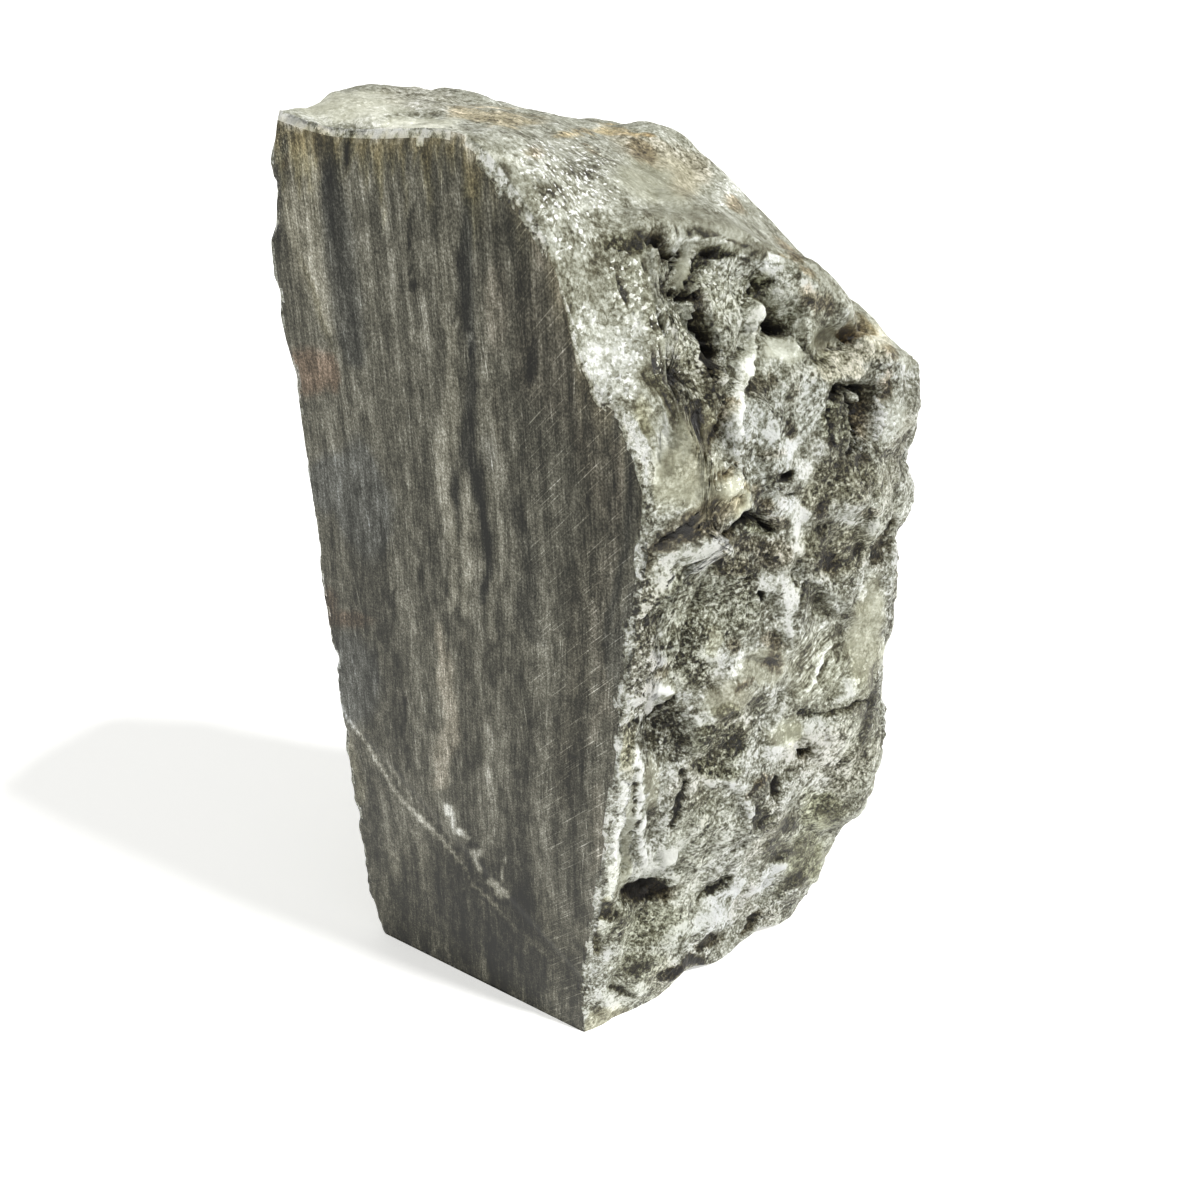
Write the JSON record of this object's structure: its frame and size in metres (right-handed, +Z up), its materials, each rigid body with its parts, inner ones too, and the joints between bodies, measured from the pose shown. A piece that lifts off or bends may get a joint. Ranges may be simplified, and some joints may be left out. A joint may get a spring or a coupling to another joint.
{
  "type": "alabaster block",
  "caption": "Rough upright block of raw alabaster for carving, sawn flat on its front and broken on its other sides, resting on a small flat foot.",
  "frame": {"origin": "middle of the block's bounding box in plan, on the small flat foot that it stands on", "axes": "+Z up, -Y out of the sawn front face, +X to the right along the sawn face as someone facing it sees it, towards the rough broken face"},
  "size_m": [0.1952, 0.1346, 0.3447],
  "materials": {
    "alabaster": "satin"
  },
  "bodies": {
    "root": {"alabaster_block": "alabaster"}
  },
  "joints": []
}
